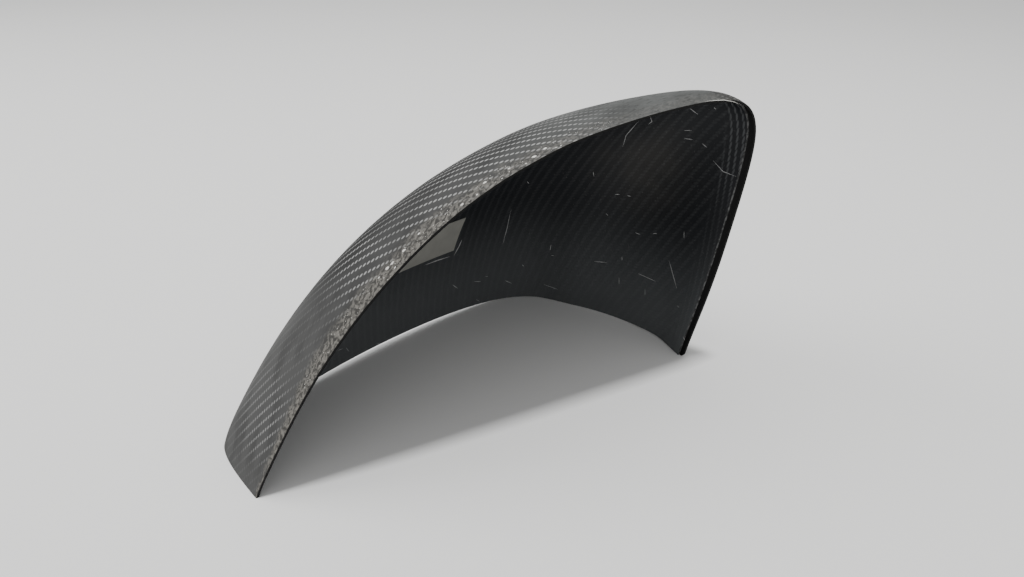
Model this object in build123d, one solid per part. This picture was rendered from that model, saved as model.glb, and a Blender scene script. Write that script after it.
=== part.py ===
from build123d import *
from math import cos, radians, sin, sqrt, tan
import os

# Wing mirror cover: a thin one-piece carbon moulding that caps the back and top of a door mirror.
# X runs along the opening, from the pointed tip to the tall outer side.
# Y runs back from the opening, Z up from the lower edge that the cover stands on.
# The origin is at the middle of the box, on the floor.

# Overall sizes
cover_length = 250.0
cover_height = 137.0
cover_depth = 101.0

# Wall and trimmed edges
wall = 2.0
rim_land_width = 2.5
rim_land_depth = 1.0
back_relief = 2.5
side_relief = 1.0
outer_corner_radius = 2.0
trim_allowance = 4.0

# Curve of each station, from rim to lower edge: how far its ends keep their direction and swell outwards
rim_pull = 0.36
rim_swell = 0.17
edge_pull = 0.72
edge_swell = 0.02
side_pull = 0.255

# Points of the lower edge where the cover stands, in shares of length and depth
heel = (0.000, 0.475)
back = (0.705, 0.975)
outer_foot = (0.901, 0.0)

# Stations from tip to outer side.
# Each row is a rim point, in shares of length and height, and its lower edge point, in shares of
# length and depth.
stations = [
    (0.080, 0.215, -0.020, 0.430),
    (0.130, 0.345, *heel),
    (0.345, 0.725, 0.120, 0.635),
    (0.540, 0.910, 0.430, 0.905),
    (0.660, 0.965, *back),
    (0.855, 0.995, 0.795, 0.760),
    (0.987, 0.950, 0.840, 0.595),
    (1.000, 0.570, 0.900, 0.255),
    (0.967, 0.300, 0.903, 0.130),
]
loft_curves = 30

# Foil label on the inside of the back wall
label_width = 46.0
label_height = 21.0
label_thickness = 0.2
label_reach = 152.0
label_lift = 45.0
label_turn = 16.0
label_end_slant = 9.5


def outlines():
    """Rim and lower edge of the untrimmed moulding, as splines that pass their stations in step."""
    tip = Vector(0, -trim_allowance, -trim_allowance)
    foot = Vector(outer_foot[0] * cover_length, -trim_allowance, -trim_allowance)
    rim_points = [tip]
    edge_points = [tip]
    for rim_x, rim_z, edge_x, edge_y in stations:
        rim_points.append(Vector(rim_x * cover_length, -trim_allowance, rim_z * cover_height))
        edge_points.append(Vector(edge_x * cover_length, edge_y * cover_depth, -trim_allowance))
    rim_points.append(foot)
    edge_points.append(foot)
    steps = [0.0]
    for i in range(1, len(rim_points)):
        rim_step = (rim_points[i] - rim_points[i - 1]).length
        edge_step = (edge_points[i] - edge_points[i - 1]).length
        steps.append(steps[-1] + sqrt((rim_step**2 + edge_step**2) / 2))
    rim = Edge.make_spline(rim_points, parameters=steps).geom_adaptor()
    edge = Edge.make_spline(edge_points, parameters=steps).geom_adaptor()
    return rim, edge, steps[-1]


def station_curve(rim, edge):
    """Curve that leaves the rim backwards and comes down on the lower edge from above."""
    along = edge.X - rim.X
    back = edge.Y - rim.Y
    up = rim.Z - edge.Z
    rim_handle = rim + Vector(along * side_pull, back * rim_pull, up * rim_swell)
    edge_handle = edge + Vector(-along * side_pull, back * edge_swell, up * edge_pull)
    return Wire([Edge.make_bezier(rim, rim_handle, edge_handle, edge)])


def moulded_face():
    """Outer face of the untrimmed moulding, lofted between the two outlines."""
    rim, edge, end = outlines()
    start = trim_allowance / 2
    curves = []
    for i in range(loft_curves + 1):
        place = start + (end - 2 * start) * i / loft_curves
        curves.append(station_curve(Vector(rim.Value(place)), Vector(edge.Value(place))))
    return Shell.make_loft(curves).faces()[0]


def layer(face, thickness):
    """Solid layer laid against the inside of a face."""
    return Solid.thicken(face, thickness, normal_override=(0, -1, -1))


def inside_of(solid):
    """Inner one of the two large faces of a layer."""
    return solid.faces().sort_by(SortBy.AREA)[-2]


def land_cut(outer, room):
    """Strip along the rim where the inside of the wall is thinned to seat on the mirror housing."""
    land_face = inside_of(layer(outer, wall - rim_land_depth))
    return layer(land_face, 2 * rim_land_depth) & Box(room, 2 * rim_land_width, room)


def corner_cut(room):
    """Spandrel that rounds the corner where the rim meets the lower edge on the outer side."""
    square = Rectangle(outer_corner_radius, outer_corner_radius, align=Align.MIN)
    disc = Pos(outer_corner_radius, outer_corner_radius) * Circle(outer_corner_radius)
    outer_half = Plane(origin=(cover_length / 2, 0, 0), x_dir=(0, 1, 0), z_dir=(1, 0, 0))
    return extrude(outer_half * (square - disc), amount=room)


def relief_cut(foot_a, foot_b, height):
    """Shallow arch that lifts the lower edge off the floor between two feet."""
    chord = foot_b - foot_a
    middle = chord.length / 2
    upright = Plane(origin=foot_a, x_dir=chord, z_dir=chord.cross(Vector(0, 0, 1)))
    arch = ThreePointArc((0, 0), (middle, height), (2 * middle, 0))
    base = Polyline((2 * middle, 0), (2 * middle, -height), (0, -height), (0, 0))
    reach = cover_depth / 3
    return extrude(upright * make_face([arch, base]), amount=reach, both=True)


def label_stamp(room):
    """Prism that stamps the outline of the label on the back wall, seen from the opening."""
    along = (cos(radians(label_turn)), sin(radians(label_turn)), 0)
    towards = (sin(radians(label_turn)), -cos(radians(label_turn)), 0)
    upright = Plane(origin=(0, 0, label_lift), x_dir=along, z_dir=towards)
    near_end = label_reach - label_width
    outline = Polyline(
        (near_end, 0),
        (label_reach, 0),
        (label_reach + label_height * tan(radians(label_end_slant)), label_height),
        (near_end, label_height),
        close=True,
    )
    return extrude(upright * make_face(outline), amount=-room)


def floor_point(shares, inset=0.0):
    """Point of the lower edge on the floor, moved back from the rim by an inset."""
    return Vector(shares[0] * cover_length, shares[1] * cover_depth + inset, 0)


outer = moulded_face()
skin = layer(outer, wall)
room = 3 * (cover_length + cover_height + cover_depth)
finished = Box(room, room, room, align=(Align.CENTER, Align.MIN, Align.MIN))
heel_foot = floor_point(heel)
back_foot = floor_point(back)
corner_foot = floor_point(outer_foot, outer_corner_radius)

cover = skin & finished
cover = cover - land_cut(outer, room) - corner_cut(room)
cover = cover - relief_cut(heel_foot, back_foot, back_relief)
cover = cover - relief_cut(back_foot, corner_foot, side_relief)
label = layer(inside_of(skin), label_thickness) & label_stamp(room)

box = cover.bounding_box()
origin = Vector((box.min.X + box.max.X) / 2, box.max.Y / 2, 0)
os.makedirs("parts", exist_ok=True)
for name, piece in {"cover_shell": cover, "inner_label": label}.items():
    export_step(piece.moved(Pos(-origin)), f"parts/{name}.step")
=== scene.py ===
import math
import random

import bmesh
import bpy
import numpy as np
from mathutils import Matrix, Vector
from mathutils.bvhtree import BVHTree
from mathutils.geometry import barycentric_transform


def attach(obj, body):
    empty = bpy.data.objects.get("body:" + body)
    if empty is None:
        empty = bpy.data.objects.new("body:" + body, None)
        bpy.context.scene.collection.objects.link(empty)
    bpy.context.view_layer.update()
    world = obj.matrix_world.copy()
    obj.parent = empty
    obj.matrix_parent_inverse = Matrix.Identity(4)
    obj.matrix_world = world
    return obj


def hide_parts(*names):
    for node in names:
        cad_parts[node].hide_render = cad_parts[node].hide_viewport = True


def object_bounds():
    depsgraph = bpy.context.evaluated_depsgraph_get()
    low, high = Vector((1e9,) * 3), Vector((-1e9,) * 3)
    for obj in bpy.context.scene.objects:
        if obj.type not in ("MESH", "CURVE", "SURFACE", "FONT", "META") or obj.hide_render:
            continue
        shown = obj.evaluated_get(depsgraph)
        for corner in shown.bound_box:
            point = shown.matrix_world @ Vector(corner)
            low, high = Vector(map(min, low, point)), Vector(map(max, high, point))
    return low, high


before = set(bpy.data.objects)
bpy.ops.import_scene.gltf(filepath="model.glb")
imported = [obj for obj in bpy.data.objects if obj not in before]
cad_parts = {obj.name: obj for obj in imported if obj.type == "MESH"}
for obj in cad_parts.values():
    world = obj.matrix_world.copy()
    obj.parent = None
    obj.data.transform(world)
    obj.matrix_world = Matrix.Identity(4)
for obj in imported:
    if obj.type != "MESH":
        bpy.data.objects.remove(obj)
cad_low, cad_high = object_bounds()

# Finish of a used wing mirror cover: carbon twill outside and inside, a worn rim, lint and a blank label.
# Lengths are in metres. X runs from the tip to the outer side, Y back from the rim, and Z up.
MM = 0.001
RIM_Y = cad_low.y

# Camera of the photograph, whose frame is 1024 by 577 pixels
PHOTO_WIDTH_PX = 1024
PHOTO_CENTRE_PX = (512, 288)
FOCAL_PX = 780
SENSOR_MM = 36.0
CLIP_START = 10 * MM
CAMERA_PLACE = Vector((-137.3, -312.3, 240)) * MM
CAMERA_PITCH_DEG = 30.0
CAMERA_HEADING_DEG = 27.44

# Lamp nearly overhead, a window behind on the left, and the pale surround and floor
LAMP_PLACE = Vector((0.26, 0.0, 1.4))
LAMP_SIZE = 0.1
LAMP_WATTS = 15.0
WINDOW_PLACE = Vector((-0.9, 0.7, 0.9))
WINDOW_SIZE = 0.9
WINDOW_WATTS = 10.0
SURROUND = 0.6
FLOOR_SIZE = 6.0
FLOOR_GAP = 0.05 * MM
FLOOR_COLOUR = (0.85, 0.85, 0.84, 1)

# Weave: how many tows a tow floats over, the tow widths outside, inside and in the strip by the rim inside,
# where that strip ends behind the rim, and the angle of the tows from the run of the rim
FLOAT_TOWS = 2.0
OUTER_TOW = 1.35 * MM
INNER_TOW = 1.6 * MM
STRIP_TOW = 1.05 * MM
STRIP_END = (8.8 * MM, 13.2 * MM)
OUTER_TOWS_DEG = 16.0
STRIP_TOWS_DEG = 45.0

# Painted glint on a float outside and inside, as length and width in tows, and how far it leans to the rib
OUTER_DASH = (1.65, 0.7)
INNER_DASH = (2.3, 1.1)
DASH_LEAN_DEG = 12.0

# Slope of the rim over the arch at the middle of the part, and how fast it lessens towards the outer side
ARCH_SLOPE_DEG = 26.0
ARCH_BEND_DEG = 0.3 / MM

# Steps that the layout of the cloth may take to settle, and the share of the first error that may be left
SETTLE_STEPS = 2500
SETTLE_GOAL = 1e-12

# Two pixels of the photograph along one rib of the twill on the inner wall
RIB_PX = ((650, 228), (690, 181))

# Part of the outer face that the photograph shows: how far it reaches back from the rim, by how much less
# towards the outer side, and where it ends there
SEEN_DEPTH = (48 * MM, 75 * MM)
SEEN_LESS = 18 * MM
SEEN_LESS_X = (-70 * MM, 20 * MM)
SEEN_END_X = (95 * MM, 115 * MM)

# How strongly the painted glint of the weave shows there, again near a pixel of the photograph at the tip,
# and on the hidden sides, and the colour of the glints
GLINT_RISE_X = (-84 * MM, -62 * MM)
GLINT_FADE_X = (18 * MM, 62 * MM)
GLINT_PATCH = 22 * MM
TIP_GLINT_PX = (262, 415)
TIP_GLINT_REACH = 26 * MM
TIP_GLINT = 0.65
HIDDEN_GLINT = 0.35
OUTER_GLINT_COLOUR = (0.36, 0.36, 0.355)

# Haze on the clear coat, painted shade that darkens it towards the back behind the middle of the rim and on
# the hidden sides, and its smears and scuffs
HAZE_X = (-60 * MM, 70 * MM)
TIP_HAZE = (0.09, 0.09, 0.089)
OUTER_SIDE_HAZE = (0.1, 0.103, 0.101)
SHADE_START_X = (-95 * MM, -65 * MM)
SHADE_END_X = (10 * MM, 45 * MM)
SHADE_DEPTH = (8 * MM, 36 * MM)
SHADE_SHARES = (0.2, 0.68)
HIDDEN_SHADE = 0.6
SMEAR_SIZE = 9 * MM
SCUFF_SIZE = 0.9 * MM
SCUFF_X = (20 * MM, 60 * MM)
SCUFF_GREY = 0.03

# Worn band beside the rim: its width, also at the tip, its ragged edge, its blotches, and its roughness
WORN_WIDTH = 8 * MM
WORN_WIDTH_TIP = 2.4 * MM
WORN_RISE_Z = (4 * MM, 70 * MM)
WORN_FADE_X = (-50 * MM, 60 * MM)
RAGGED_SIZE = 5 * MM
RAGGED_REACH = 7 * MM
BLOTCH_SIZE = 1.1 * MM
GRAIN_SIZE = 0.4 * MM
WORN_DARK = (0.07, 0.068, 0.064)
WORN_PALE = (0.23, 0.22, 0.2)
OUTER_ROUGHNESS = 0.5
WORN_ROUGHER = 0.2

# Chips of the clear coat in the worn band, as pixels of the photograph, and finer specks between them
CHIP_SEED = 7
CHIPS_PX = [
    (509, 168), (526, 163), (502, 178), (485, 182), (477, 194), (462, 204), (419, 233), (404, 250),
    (392, 263), (395, 267), (387, 268), (379, 277), (545, 148), (561, 145), (556, 147), (534, 156),
]
CHIP_RADIUS = 1.1 * MM
CHIP_SPREAD = (0.7, 1.3)
CHIP_RIM_SHARE = 0.6
CHIP_RAGGED = (0.6, 1.2)
CHIP_CROWN = 0.7
CHIP_SINK = 0.05 * MM
CHIP_SIDES = 8
CHIP_SQUEEZE = 0.5
SPECK_COUNT = 150
SPECK_RADIUS = 0.22 * MM
SPECK_SPREAD = (0.6, 1.5)
SPECK_BAND = 5 * MM
SPECK_X = (-95 * MM, 50 * MM)

# Inner wall: greys with painted bounce light, lighter near the floor and darker higher up, and the painted
# glints of the weave on them
BOUNCE_FADE_Z = (0.0, 75 * MM)
INNER_BOUNCE_LIT = (0.08, 0.085, 0.088)
INNER_HIGH = (0.006, 0.007, 0.009)
INNER_GLINT_COLOUR = (0.17, 0.175, 0.18)
INNER_WEAVE_GLINT = 0.07

# Lighter patch and dust specks on the inner wall, and the patch by the rim where its weave has a painted
# glint, as pixels of the photograph
PALE_PATCH_PX = (645, 165)
PALE_PATCH_REACH = 38 * MM
PALE_PATCH_CLOUD = 18 * MM
PALE_PATCH_COLOUR = (0.02, 0.019, 0.018)
DUST_SPECK = 0.9 * MM
DUST_SPECK_COLOUR = (0.2, 0.2, 0.19)
GLINT_PX = (738, 138)
GLINT_REACH = 40 * MM
GLINT = 0.25

# Step of the rim land: faces that look to the front, and lie this far behind the rim
STEP_FACING = -0.99
STEP_SHARE = 0.9
STEP_DEPTH = 1 * MM

# Lint and scratches on the inner wall, as paths through pixels of the photograph
WALL_MARKS_PX = [
    [(623, 146), (626, 135), (640, 119)],
    [(690, 108), (698, 114)],
    [(684, 138), (693, 139)],
    [(684, 130), (692, 130)],
    [(648, 124), (652, 121), (650, 116)],
    [(702, 143), (707, 147)],
    [(714, 107), (716, 109)],
    [(713, 160), (723, 171), (736, 176)],
    [(511, 209), (507, 228), (503, 243)],
    [(527, 181), (529, 183)],
    [(593, 171), (594, 176)],
    [(615, 194), (620, 194)],
    [(627, 195), (631, 196)],
    [(606, 213), (608, 215)],
    [(635, 232), (640, 234)],
    [(653, 233), (657, 233)],
    [(684, 231), (684, 238)],
    [(551, 244), (550, 250)],
    [(551, 255), (554, 255)],
    [(622, 256), (622, 260)],
    [(594, 261), (607, 262)],
    [(522, 264), (524, 266)],
    [(669, 260), (677, 289)],
    [(638, 273), (656, 281)],
    [(619, 277), (619, 284)],
    [(645, 288), (645, 295)],
    [(677, 305), (679, 307)],
    [(683, 336), (685, 340)],
    [(452, 284), (458, 288)],
    [(474, 281), (481, 281)],
    [(485, 276), (488, 276)],
    [(505, 280), (512, 283)],
    [(476, 299), (480, 301)],
    [(544, 284), (558, 289)],
    [(338, 350), (343, 348)],
    [(346, 347), (349, 351)],
    [(376, 344), (380, 343)],
]
MARK_WIDTH = 0.16 * MM
MARK_HEIGHT = 0.06 * MM
MARK_STEPS = 8
MARK_TIP = 0.15

# Pale strip along the rim edge at its upper outer corner, a painted highlight
RIM_HIGHLIGHT_PX = [[(705, 101), (714, 100), (724, 99.5), (733, 101), (741, 104)]]

# Torn rest of an older label's edge, beside the label
TORN_EDGE_PX = [
    [(462, 239), (459, 246), (454, 255)],
    [(450, 256), (437, 260), (424, 265)],
]
TORN_WIDTH = 0.35 * MM

# Share of a patch's reach within which it is full
NEAR_CORE = 0.2

# Material slots of the shell
OUTER, INNER, CUT, STEP = range(4)

# Sockets of a mix node's colours
MIX_SHARE = 0
MIX_COLOURS = (6, 7)
MIX_RESULT = 2


def wire(tree, socket, value):
    """Links a socket to another one, or sets its value."""
    if isinstance(value, bpy.types.NodeSocket):
        tree.links.new(value, socket)
    else:
        socket.default_value = value


def calc(tree, operation, *values):
    """Math node."""
    node = tree.nodes.new("ShaderNodeMath")
    node.operation = operation
    for socket, value in zip(node.inputs, values):
        wire(tree, socket, value)
    return node.outputs[0]


def ramp(tree, value, low, high, start=0.0, end=1.0):
    """Smooth step of a value, from start at low to end at high."""
    node = tree.nodes.new("ShaderNodeMapRange")
    node.interpolation_type = "SMOOTHSTEP"
    names = ("Value", "From Min", "From Max", "To Min", "To Max")
    for name, given in zip(names, (value, low, high, start, end)):
        wire(tree, node.inputs[name], given)
    return node.outputs["Result"]


def blend(tree, share, first, second):
    """Mix of two colours or greys."""
    node = tree.nodes.new("ShaderNodeMix")
    node.data_type = "RGBA"
    wire(tree, node.inputs[MIX_SHARE], share)
    for socket, value in zip(MIX_COLOURS, (first, second)):
        if isinstance(value, float):
            value = (value, value, value)
        wire(tree, node.inputs[socket], (*value, 1) if isinstance(value, tuple) else value)
    return node.outputs[MIX_RESULT]


def place(tree):
    """Place on the object."""
    return tree.nodes.new("ShaderNodeTexCoord").outputs["Object"]


def cloth_place(tree, layout):
    """Place on the cloth in one of its layouts."""
    node = tree.nodes.new("ShaderNodeUVMap")
    node.uv_map = layout
    return node.outputs[0]


def split(tree, vector):
    """X, Y and Z of a vector."""
    node = tree.nodes.new("ShaderNodeSeparateXYZ")
    tree.links.new(vector, node.inputs[0])
    return node.outputs


def noise(tree, point, size, detail=2.0, stretch=1.0, swirl=0.0):
    """Noise whose features are about the given size, stretched along the first axis."""
    node = tree.nodes.new("ShaderNodeTexNoise")
    node.inputs["Scale"].default_value = 1 / size
    node.inputs["Detail"].default_value = detail
    node.inputs["Distortion"].default_value = swirl
    mapping = tree.nodes.new("ShaderNodeMapping")
    mapping.inputs["Scale"].default_value = (1 / stretch, 1, 1)
    tree.links.new(point, mapping.inputs["Vector"])
    tree.links.new(mapping.outputs[0], node.inputs["Vector"])
    return node.outputs["Fac"]


def nearness(tree, point, centre, reach):
    """Share that falls from 1 around a centre to 0 at its reach."""
    node = tree.nodes.new("ShaderNodeVectorMath")
    node.operation = "DISTANCE"
    tree.links.new(point, node.inputs[0])
    node.inputs[1].default_value = centre
    return ramp(tree, node.outputs["Value"], NEAR_CORE * reach, reach, 1.0, 0.0)


def material(name, roughness, specular=0.5):
    """New node material, with its tree and its principled shader."""
    made = bpy.data.materials.new(name)
    made.use_nodes = True
    tree = made.node_tree
    shader = tree.nodes["Principled BSDF"]
    shader.inputs["Roughness"].default_value = roughness
    shader.inputs["Specular IOR Level"].default_value = specular
    return made, tree, shader


def mottled(name, colours, size, detail, roughness, specular=0.5):
    """Material that wanders between two colours or greys over spots of one size."""
    made, tree, shader = material(name, roughness, specular)
    tone = noise(tree, place(tree), size, detail)
    tree.links.new(blend(tree, tone, *colours), shader.inputs["Base Color"])
    return made


def bump(tree, shader, height, distance, strength):
    """Relief from a height between 0 and 1."""
    node = tree.nodes.new("ShaderNodeBump")
    node.inputs["Distance"].default_value = distance
    node.inputs["Strength"].default_value = strength
    wire(tree, node.inputs["Height"], height)
    tree.links.new(node.outputs["Normal"], shader.inputs["Normal"])


def twill(tree, layout, tow, dash):
    """Two-by-two twill on a layout of the cloth: the painted glints on the first tows, as dashes from 0 to
    1.
    """
    u, v, _ = split(tree, cloth_place(tree, layout))
    first = calc(tree, "DIVIDE", u, tow)
    across = calc(tree, "DIVIDE", v, tow)
    row = calc(tree, "FLOOR", across)
    # A tow floats over two others, goes under the next two, and starts a tow further on in each row
    along = calc(tree, "FLOORED_MODULO", calc(tree, "SUBTRACT", first, row), 2 * FLOAT_TOWS)
    along = calc(tree, "SUBTRACT", along, FLOAT_TOWS / 2)
    aside = calc(tree, "SUBTRACT", calc(tree, "FRACT", across), 0.5)
    # Leaning ellipse in the middle of each float, where the painted glint sits
    cos = math.cos(math.radians(DASH_LEAN_DEG))
    sin = math.sin(math.radians(DASH_LEAN_DEG))
    length = calc(tree, "MULTIPLY_ADD", along, cos, calc(tree, "MULTIPLY", aside, sin))
    width = calc(tree, "MULTIPLY_ADD", aside, cos, calc(tree, "MULTIPLY", along, -sin))
    length = calc(tree, "POWER", calc(tree, "DIVIDE", length, dash[0] / 2), 2.0)
    width = calc(tree, "POWER", calc(tree, "DIVIDE", width, dash[1] / 2), 2.0)
    return ramp(tree, calc(tree, "ADD", length, width), 0.2, 1.0, 1.0, 0.0)


def seen_share(tree, x, from_rim):
    """Share of the outer face that the photograph shows, from 1 beside the rim to 0 on the hidden sides."""
    behind = calc(tree, "ADD", from_rim, ramp(tree, x, *SEEN_LESS_X, 0.0, SEEN_LESS))
    beside_rim = ramp(tree, behind, *SEEN_DEPTH, 1.0, 0.0)
    return calc(tree, "MULTIPLY", beside_rim, ramp(tree, x, *SEEN_END_X, 1.0, 0.0))


def weave_glint_share(tree, point, x, seen, tip_glint_spot):
    """Painted glint of the weave through the haze: in patches in the middle and near the tip."""
    patches = ramp(tree, noise(tree, point, GLINT_PATCH, detail=3.0), 0.35, 0.55, 0.5, 1.0)
    rise = ramp(tree, x, *GLINT_RISE_X, 0.1, 1.0)
    fade = ramp(tree, x, *GLINT_FADE_X, 1.0, 0.04)
    tip = calc(tree, "MULTIPLY", nearness(tree, point, tip_glint_spot, TIP_GLINT_REACH), TIP_GLINT)
    shows = calc(tree, "MULTIPLY", calc(tree, "MULTIPLY_ADD", rise, fade, tip), patches)
    return ramp(tree, seen, 0.0, 1.0, HIDDEN_GLINT, shows)


def haze_colour(tree, cloth, x, from_rim, seen):
    """Smeared grey of the haze, darkened by painted shade towards the back behind the middle of the rim and
    on the hidden sides.
    """
    haze = blend(tree, ramp(tree, x, *HAZE_X), TIP_HAZE, OUTER_SIDE_HAZE)
    # Painted shade: the haze goes darker further back from the rim, behind its middle and on the hidden
    # sides
    painted_shade = ramp(tree, x, *SHADE_START_X)
    painted_shade = calc(tree, "MULTIPLY", painted_shade, ramp(tree, x, *SHADE_END_X, 1.0, 0.0))
    painted_shade = calc(tree, "MULTIPLY", painted_shade, ramp(tree, from_rim, *SHADE_DEPTH, *SHADE_SHARES))
    haze = blend(tree, ramp(tree, seen, 0.0, 1.0, HIDDEN_SHADE, painted_shade), haze, 0.0)
    smears = ramp(tree, noise(tree, cloth, SMEAR_SIZE, detail=3.0, stretch=3.0), 0.3, 0.7, 0.75, 1.2)
    return blend(tree, smears, 0.0, haze)


def scuff_share(tree, cloth, x, seen):
    """Dark scuffs on top, towards the outer side."""
    scuffs = ramp(tree, noise(tree, cloth, SCUFF_SIZE, stretch=4.0), 0.56, 0.66, 0.0, 0.45)
    scuffs = calc(tree, "MULTIPLY", scuffs, ramp(tree, x, *SCUFF_X))
    return calc(tree, "MULTIPLY", scuffs, calc(tree, "MULTIPLY", seen, seen))


def worn_share(tree, cloth, x, z, from_rim):
    """Worn band beside the rim, narrower towards the tip and fainter at the outer side."""
    reach = ramp(tree, z, *WORN_RISE_Z, WORN_WIDTH_TIP, WORN_WIDTH)
    ragged = noise(tree, cloth, RAGGED_SIZE, detail=4.0, stretch=2.0)
    ragged = calc(tree, "MULTIPLY_ADD", ragged, RAGGED_REACH, -RAGGED_REACH / 2)
    band = calc(tree, "DIVIDE", calc(tree, "ADD", from_rim, ragged), reach)
    band = ramp(tree, band, 0.25, 1.0, 1.0, 0.0)
    return calc(tree, "MULTIPLY", band, ramp(tree, x, *WORN_FADE_X, 1.0, 0.2))


def worn_colour(tree, cloth):
    """Blotchy and grainy pale grey of the worn band."""
    blotches = noise(tree, cloth, BLOTCH_SIZE, detail=3.0, stretch=1.6, swirl=0.6)
    blotches = ramp(tree, blotches, 0.4, 0.6)
    grains = ramp(tree, noise(tree, cloth, GRAIN_SIZE, stretch=2.0), 0.3, 0.6, 0.55, 1.0)
    return blend(tree, calc(tree, "MULTIPLY", blotches, grains), WORN_DARK, WORN_PALE)


def outer_finish(tip_glint_spot):
    """Hazy clear coat over twill with painted glints on its floats, worn to a pale blotchy band beside the
    rim.
    """
    made, tree, shader = material("carbon_outer", OUTER_ROUGHNESS, specular=0.015)
    point = place(tree)
    x, y, z = split(tree, point)
    from_rim = calc(tree, "SUBTRACT", y, RIM_Y)
    cloth = cloth_place(tree, "tows")
    seen = seen_share(tree, x, from_rim)
    # Painted glints on the twill floats, shown through the haze in painted glint patches
    glint_dashes = twill(tree, "tows", OUTER_TOW, OUTER_DASH)
    shown = calc(tree, "MULTIPLY", glint_dashes, weave_glint_share(tree, point, x, seen, tip_glint_spot))
    glinting_weave = blend(tree, shown, haze_colour(tree, cloth, x, from_rim, seen), OUTER_GLINT_COLOUR)
    glinting_weave = blend(tree, scuff_share(tree, cloth, x, seen), glinting_weave, SCUFF_GREY)
    band = worn_share(tree, cloth, x, z, from_rim)
    tree.links.new(blend(tree, band, glinting_weave, worn_colour(tree, cloth)), shader.inputs["Base Color"])
    roughness = calc(tree, "MULTIPLY_ADD", band, WORN_ROUGHER, OUTER_ROUGHNESS)
    tree.links.new(roughness, shader.inputs["Roughness"])
    bump(tree, shader, glint_dashes, distance=0.1 * MM, strength=0.2)
    return made


def inner_finish(pale_patch_spot, glint_spot):
    """Bare inside of the laminate: bluish black, lighter near the floor as painted bounce light, with ribs
    of twill as painted glints, a strip along the rim with a painted glint, a lighter patch, and dust specks.
    """
    made, tree, shader = material("carbon_inner", roughness=0.5, specular=0.25)
    point = place(tree)
    _, y, z = split(tree, point)
    from_rim = calc(tree, "SUBTRACT", y, RIM_Y)
    by_rim = ramp(tree, from_rim, *STRIP_END, 1.0, 0.0)
    # Ribs of the twill and columns in the strip by the rim, drawn as painted glints
    ribs = twill(tree, "sheet", INNER_TOW, INNER_DASH)
    columns = twill(tree, "tows", STRIP_TOW, INNER_DASH)
    glint_dashes = blend(tree, by_rim, ribs, columns)
    # Lighter cloudy patch high on the inner wall
    clouds = ramp(tree, noise(tree, point, PALE_PATCH_CLOUD, detail=4.0), 0.3, 0.7, 0.4, 1.0)
    pale_share = calc(tree, "MULTIPLY", nearness(tree, point, pale_patch_spot, PALE_PATCH_REACH), clouds)
    # Painted bounce light: lighter near the floor, darker higher up
    bounce_lit_ground = blend(tree, ramp(tree, z, *BOUNCE_FADE_Z), INNER_BOUNCE_LIT, INNER_HIGH)
    bounce_lit_ground = blend(tree, pale_share, bounce_lit_ground, PALE_PATCH_COLOUR)
    # Painted glint of the weave, stronger in the patch by the rim
    glint = calc(tree, "MULTIPLY", by_rim, GLINT)
    bright = nearness(tree, point, glint_spot, GLINT_REACH)
    bright = calc(tree, "MULTIPLY_ADD", bright, glint, INNER_WEAVE_GLINT)
    colour = blend(tree, calc(tree, "MULTIPLY", glint_dashes, bright), bounce_lit_ground, INNER_GLINT_COLOUR)
    specks = ramp(tree, noise(tree, point, DUST_SPECK, detail=0.0), 0.75, 0.8, 0.0, 0.12)
    tree.links.new(blend(tree, specks, colour, DUST_SPECK_COLOUR), shader.inputs["Base Color"])
    bump(tree, shader, glint_dashes, distance=0.15 * MM, strength=0.3)
    return made


def edge_finish():
    """Cut edge of the laminate: black, with fine dark grain."""
    greys = (0.002, 0.008)
    return mottled("carbon_cut_edge", greys, size=0.7 * MM, detail=3.0, roughness=0.6, specular=0.15)


def step_finish():
    """Pale mottled arris where the rim land meets the inner wall."""
    made, tree, shader = material("pale_step_arris", roughness=0.8)
    pale_share = ramp(tree, noise(tree, place(tree), 1.8 * MM, detail=4.0), 0.4, 0.65)
    tree.links.new(blend(tree, pale_share, 0.02, 0.12), shader.inputs["Base Color"])
    return made


def label_finish():
    """Blank silver-grey film, a little scuffed."""
    silver_greys = ((0.2, 0.2, 0.182), (0.28, 0.275, 0.25))
    return mottled("label_film", silver_greys, size=5 * MM, detail=5.0, roughness=0.4)


def lint_finish():
    """Pale lint and scratch dust."""
    greys = (0.12, 0.6)
    return mottled("pale_lint", greys, size=2 * MM, detail=2.0, roughness=0.8)


def chip_and_highlight_finish():
    """Off-white: bare filler in the chips of the clear coat, and the painted highlight along the rim edge.
    """
    off_whites = ((0.55, 0.54, 0.5), (0.95, 0.94, 0.9))
    return mottled("chipped_coat_and_rim_highlight", off_whites, size=0.6 * MM, detail=3.0, roughness=0.8)


def add_piece(name, mesh, *finishes):
    """Object of the part that rides on its one body."""
    piece = bpy.data.objects.new(name, mesh)
    bpy.context.scene.collection.objects.link(piece)
    mesh.materials.clear()
    for finish in finishes:
        mesh.materials.append(finish)
    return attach(piece, "root")


def loose_parts(mesh):
    """Number of the connected part of each polygon: each CAD face is a part of its own in the frame."""
    parent = list(range(len(mesh.vertices)))

    def root(i):
        while parent[i] != i:
            parent[i] = parent[parent[i]]
            i = parent[i]
        return i

    for a, b in mesh.edge_keys:
        parent[root(a)] = root(b)
    roots = [root(p.vertices[0]) for p in mesh.polygons]
    order = {r: k for k, r in enumerate(dict.fromkeys(roots))}
    return np.array([order[r] for r in roots])


def along_arch(centres, normals):
    """Run of the rim over the arch, at the same place along the part."""
    slope = np.radians(ARCH_SLOPE_DEG - ARCH_BEND_DEG * centres[:, 0])
    return np.stack([np.cos(slope), 0 * slope, np.sin(slope)], 1)


def along_wall(centres, normals):
    """Run of the rim along the wall behind it, seen from inside."""
    return np.cross(normals, (0, 1, 0))


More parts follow.
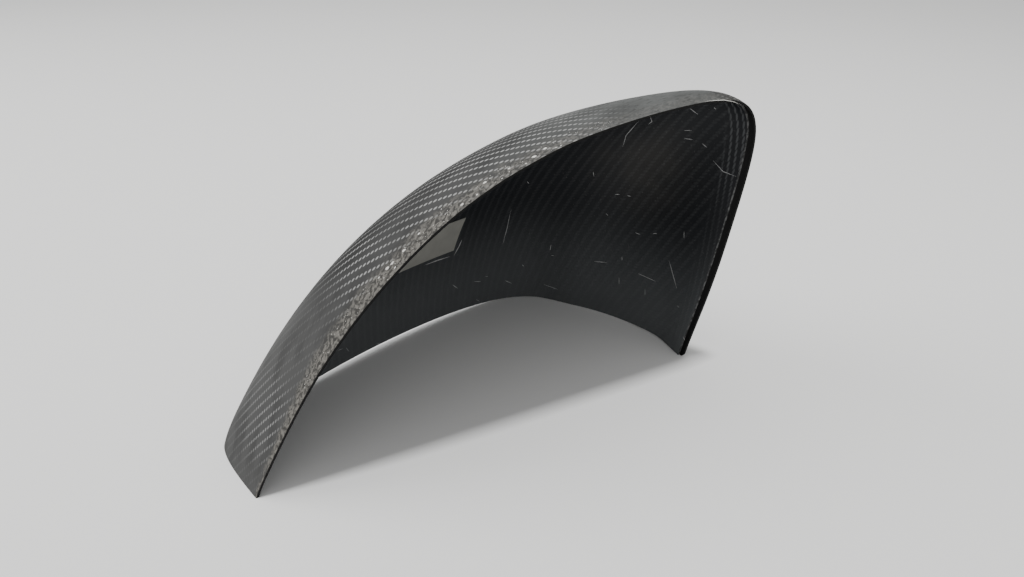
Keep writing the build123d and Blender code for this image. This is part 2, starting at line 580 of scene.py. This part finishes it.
def settle(corners, slopes, weights, field):
    """Values on the corners of triangles whose slopes follow a field, by conjugate gradients."""
    def pull_of(directions):
        pulls = weights * np.einsum("tck,tk->tc", slopes, directions)
        return np.bincount(corners.ravel(), pulls.ravel())

    stiffness = np.bincount(corners.ravel(), (weights * (slopes**2).sum(2)).ravel())
    rest = pull_of(field)
    values = np.zeros(len(rest))
    step = rest / stiffness
    size = rest @ step
    goal = size * SETTLE_GOAL
    for _ in range(SETTLE_STEPS):
        pull = pull_of(np.einsum("tck,tc->tk", slopes, step[corners]))
        share = size / (step @ pull)
        values += share * step
        rest -= share * pull
        eased = rest / stiffness
        last, size = size, rest @ eased
        if size < goal:
            break
        step = eased + size / last * step
    return values


def lay_tows(mesh, chosen, run_of, tows_deg):
    """Lays the cloth, in metres, so that its first tows keep near an angle from the run of the rim."""
    polygons = [p for p, wanted in zip(mesh.polygons, chosen) if wanted]
    used, corners = np.unique([p.vertices[:] for p in polygons], return_inverse=True)
    corners = corners.reshape(-1, 3)
    spots = np.array([v.co for v in mesh.vertices])[used][corners]
    sides = np.roll(spots, -2, 1) - np.roll(spots, -1, 1)
    normals = np.cross(sides[:, 0], sides[:, 1])
    doubled = np.linalg.norm(normals, axis=1)[:, None]
    normals = normals / doubled
    slopes = np.cross(normals[:, None], sides) / doubled[:, None]

    # Directions along the rim and back from it in each triangle, and the tows between them
    level = run_of(spots.mean(1), normals)
    level = level - normals * (normals * level).sum(1)[:, None]
    shown = np.linalg.norm(level, axis=1)[:, None]
    level = level / shown
    weights = doubled * shown
    back = np.cross(normals, level)
    back = back * np.sign((weights * back)[:, 1].sum())
    cos = math.cos(math.radians(tows_deg))
    sin = math.sin(math.radians(tows_deg))
    tows = (level * cos + back * sin, level * sin - back * cos)

    places = np.stack([settle(corners, slopes, weights, field) for field in tows], 1)
    laid = mesh.uv_layers["tows"].data
    for p, row in zip(polygons, places[corners]):
        for k, spot in zip(p.loop_indices, row):
            laid[k].uv = spot


def lay_sheet(piece, chosen, on_wall):
    """Lays the cloth as a free sheet in metres, turned so that a rib of the twill passes its two pixels."""
    mesh = piece.data
    mesh.uv_layers.active = mesh.uv_layers["sheet"]
    mesh.polygons.foreach_set("select", chosen)
    bpy.context.view_layer.objects.active = piece
    bpy.ops.object.mode_set(mode="EDIT")
    bpy.ops.uv.unwrap(method="MINIMUM_STRETCH", margin=0.0)
    bpy.ops.object.mode_set(mode="OBJECT")
    laid = np.zeros(len(mesh.loops) * 2, np.float32)
    mesh.uv_layers["sheet"].data.foreach_get("uv", laid)
    spots = []
    marks = []
    for pixel in RIB_PX:
        spot, _, index = on_wall(*pixel)
        p = mesh.polygons[index]
        corners = [mesh.vertices[i].co for i in p.vertices]
        flat = [Vector((laid[2 * k], laid[2 * k + 1], 0)) for k in p.loop_indices]
        mark = barycentric_transform(spot, *corners, *flat)
        spots.append(spot)
        marks.append(complex(mark.x, mark.y))
    # A rib runs diagonally between the tows
    length = (spots[1] - spots[0]).length
    rib = length * complex(math.sqrt(0.5), math.sqrt(0.5))
    turned = (laid[0::2] + 1j * laid[1::2]) * (rib / (marks[1] - marks[0]))
    laid[0::2] = turned.real
    laid[1::2] = turned.imag
    mesh.uv_layers["sheet"].data.foreach_set("uv", laid)


def make_skin(on_wall):
    """The CAD shell with its finish: outer and inner skin, cut edges, and the pale mottled step of the rim
    land.
    """
    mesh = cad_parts["cover_shell"].data.copy()
    outside = outer_finish(on_wall(*TIP_GLINT_PX)[0])
    inside = inner_finish(on_wall(*PALE_PATCH_PX)[0], on_wall(*GLINT_PX)[0])
    skin = add_piece("cover_skin", mesh, outside, inside, edge_finish(), step_finish())
    parts = loose_parts(mesh)
    areas = np.bincount(parts, [p.area for p in mesh.polygons])
    outer, inner = np.argsort(areas)[::-1][:2]
    front = np.bincount(parts, [p.area * (p.normal.y < STEP_FACING) for p in mesh.polygons]) / areas
    depth = np.bincount(parts, [p.area * p.center.y for p in mesh.polygons]) / areas
    finish_of = np.where((front > STEP_SHARE) & (depth > RIM_Y + STEP_DEPTH), STEP, CUT)
    finish_of[outer] = OUTER
    finish_of[inner] = INNER
    for p, part in zip(mesh.polygons, parts):
        p.use_smooth = True
        p.material_index = int(finish_of[part])
    mesh.uv_layers.new(name="tows")
    mesh.uv_layers.new(name="sheet")
    lay_tows(mesh, parts == outer, along_arch, OUTER_TOWS_DEG)
    lay_tows(mesh, parts == inner, along_wall, STRIP_TOWS_DEG)
    lay_sheet(skin, parts == inner, on_wall)
    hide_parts("cover_shell")
    return skin


def make_label():
    """Blank film label on the back wall."""
    label = add_piece("label_blank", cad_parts["inner_label"].data.copy(), label_finish())
    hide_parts("inner_label")


def make_floor():
    """Plain pale floor."""
    bpy.ops.mesh.primitive_plane_add(size=FLOOR_SIZE, location=(0, 0, -FLOOR_GAP))
    floor = bpy.context.object
    floor.name = "floor"
    made, _, shader = material("pale_floor", roughness=0.9)
    shader.inputs["Base Color"].default_value = FLOOR_COLOUR
    floor.data.materials.append(made)


def add_lamp(name, spot, size, watts):
    """Square lamp that faces the part."""
    data = bpy.data.lights.new(name, "AREA")
    data.size = size
    data.energy = watts
    lamp = bpy.data.objects.new(name, data)
    lamp.location = spot
    lamp.rotation_euler = (-spot).to_track_quat("-Z", "Y").to_euler()
    bpy.context.scene.collection.objects.link(lamp)


def make_light():
    """Lamp overhead, a wide window behind on the left, and a pale surround."""
    add_lamp("lamp", LAMP_PLACE, LAMP_SIZE, LAMP_WATTS)
    add_lamp("window", WINDOW_PLACE, WINDOW_SIZE, WINDOW_WATTS)
    world = bpy.data.worlds.new("surround")
    world.use_nodes = True
    world.node_tree.nodes["Background"].inputs["Color"].default_value = (1, 1, 1, 1)
    world.node_tree.nodes["Background"].inputs["Strength"].default_value = SURROUND
    bpy.context.scene.world = world


def make_camera():
    """Camera at the photograph's viewing angle."""
    data = bpy.data.cameras.new("camera")
    data.sensor_width = SENSOR_MM
    data.lens = SENSOR_MM * FOCAL_PX / PHOTO_WIDTH_PX
    data.clip_start = CLIP_START
    camera = bpy.data.objects.new("camera", data)
    camera.location = CAMERA_PLACE
    camera.rotation_euler = (math.radians(90 - CAMERA_PITCH_DEG), 0, math.radians(-CAMERA_HEADING_DEG))
    bpy.context.scene.collection.objects.link(camera)
    bpy.context.scene.camera = camera
    return camera


def wall_finder(camera):
    """Function that gives the shell's place, outward direction and polygon at a pixel of the photograph."""
    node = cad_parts["cover_shell"].data
    tree = BVHTree.FromPolygons([v.co for v in node.vertices], [p.vertices for p in node.polygons])
    turn = camera.rotation_euler.to_matrix()

    def on_wall(u, v):
        ray = Vector(((u - PHOTO_CENTRE_PX[0]) / FOCAL_PX, (PHOTO_CENTRE_PX[1] - v) / FOCAL_PX, -1))
        return tree.ray_cast(CAMERA_PLACE, turn @ ray.normalized())[:3]

    return on_wall


def add_mark(form, path, half_width):
    """Low tapered ridge along a path of places and directions."""
    rings = []
    last = len(path) - 1
    for i, (spot, normal, _) in enumerate(path):
        along = (path[min(i + 1, last)][0] - path[max(i - 1, 0)][0]).normalized()
        side = along.cross(normal).normalized()
        swell = max(MARK_TIP, math.sin(math.pi * (i + 0.5) / (last + 1)))
        width = half_width * swell
        corners = (side * width, normal * MARK_HEIGHT * swell, -side * width, -normal * MARK_HEIGHT)
        rings.append([form.verts.new(spot + c) for c in corners])
    for a, b in zip(rings, rings[1:]):
        for k in range(4):
            form.faces.new((a[k], b[k], b[k - 3], a[k - 3]))
    form.faces.new(rings[0][::-1])
    form.faces.new(rings[-1])


def add_chip(form, spot, normal, radius, chance):
    """Low lump with a ragged outline, laid on a wall and longer along the rim."""
    side = Vector((0, 1, 0)).cross(normal).normalized()
    across = normal.cross(side)
    foot = []
    crown = []
    for k in range(CHIP_SIDES):
        angle = 2 * math.pi * k / CHIP_SIDES
        reach = radius * chance.uniform(*CHIP_RAGGED)
        out = (side * math.cos(angle) + across * math.sin(angle) * CHIP_SQUEEZE) * reach
        foot.append(form.verts.new(spot + out - normal * CHIP_SINK))
        crown.append(form.verts.new(spot + out * CHIP_CROWN + normal * CHIP_SINK))
    for k in range(CHIP_SIDES):
        form.faces.new((foot[k - 1], foot[k], crown[k], crown[k - 1]))
    form.faces.new(crown)
    form.faces.new(foot[::-1])


def finish_form(form, name, finish):
    """Piece with one finish, from a built form."""
    bmesh.ops.recalc_face_normals(form, faces=form.faces)
    mesh = bpy.data.meshes.new(name)
    form.to_mesh(mesh)
    form.free()
    add_piece(name, mesh, finish)


def make_marks(name, paths_px, half_width, finish, on_wall):
    """Lint, scratches, torn film or a painted rim highlight that lie on the wall."""
    form = bmesh.new()
    for pixels in paths_px:
        path = []
        for (u0, v0), (u1, v1) in zip(pixels, pixels[1:]):
            for i in range(MARK_STEPS):
                share = i / MARK_STEPS
                path.append(on_wall(u0 + (u1 - u0) * share, v0 + (v1 - v0) * share))
        path.append(on_wall(*pixels[-1]))
        add_mark(form, path, half_width)
    finish_form(form, name, finish)


def make_chips(skin, finish, on_wall):
    """Pale chips and specks in the worn band."""
    chance = random.Random(CHIP_SEED)
    form = bmesh.new()
    for pixel in CHIPS_PX:
        spot, normal, _ = on_wall(*pixel)
        radius = min(CHIP_RADIUS * chance.uniform(*CHIP_SPREAD), CHIP_RIM_SHARE * (spot.y - RIM_Y))
        add_chip(form, spot, normal, radius, chance)
    band = []
    for p in skin.data.polygons:
        beside_rim = p.material_index == OUTER and p.center.y < RIM_Y + SPECK_BAND
        if beside_rim and SPECK_X[0] < p.center.x < SPECK_X[1]:
            band.append(p)
    for p in chance.choices(band, [p.area for p in band], k=SPECK_COUNT):
        a, b, c = (skin.data.vertices[i].co for i in p.vertices)
        first, second = sorted((chance.random(), chance.random()))
        spot = a * first + b * (second - first) + c * (1 - second)
        radius = min(SPECK_RADIUS * chance.uniform(*SPECK_SPREAD), CHIP_RIM_SHARE * (spot.y - RIM_Y))
        add_chip(form, spot, p.normal, radius, chance)
    finish_form(form, "rim_chips", finish)


camera = make_camera()
on_wall = wall_finder(camera)
skin = make_skin(on_wall)
make_label()
lint = lint_finish()
chips_and_highlight = chip_and_highlight_finish()
make_marks("wall_lint", WALL_MARKS_PX, MARK_WIDTH, lint, on_wall)
make_marks("torn_film", TORN_EDGE_PX, TORN_WIDTH, lint, on_wall)
# Painted highlight along the rim edge at its upper outer corner
make_marks("painted_rim_highlight", RIM_HIGHLIGHT_PX, MARK_WIDTH, chips_and_highlight, on_wall)
make_chips(skin, chips_and_highlight, on_wall)
make_floor()
make_light()
